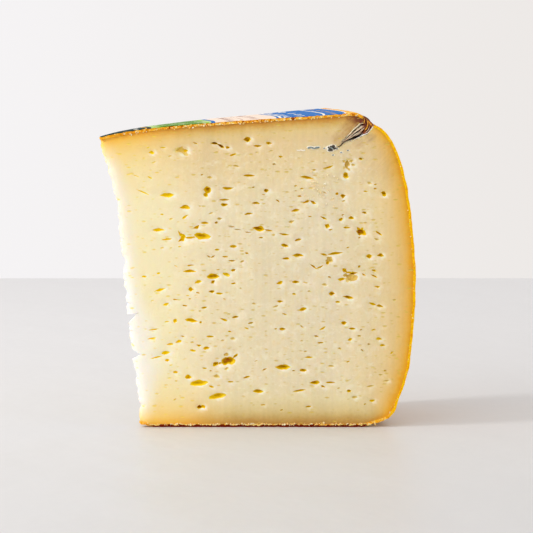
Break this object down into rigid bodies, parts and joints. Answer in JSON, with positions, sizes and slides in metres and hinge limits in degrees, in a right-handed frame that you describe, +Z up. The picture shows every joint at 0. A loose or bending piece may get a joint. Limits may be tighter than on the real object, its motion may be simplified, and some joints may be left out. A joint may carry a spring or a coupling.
{
  "type": "goat cheese wedge",
  "caption": "Wedge cut from a small wheel of semi-hard goat cheese, with washed orange rind, eyes in the cut faces and a round paper label on top.",
  "frame": {"origin": "centre of the bounding box's bottom, on the surface that the wedge stands on", "axes": "+X along the front cut face from the thin edge (the wheel's axis) towards the rim, +Y from the front cut face to the back one, +Z up, out of the labelled top rind"},
  "size_m": [0.1102, 0.0486, 0.1102],
  "materials": {
    "goat_cheese": "cream-coloured, slightly moist cut cheese with small eyes, inside a thin yellow-orange rind",
    "printed_paper": "thin printed paper label in rings of green, white and blue, stuck to the rind"
  },
  "bodies": {
    "root": {"cheese_wedge": "goat_cheese", "paper_label": "printed_paper"}
  },
  "joints": []
}
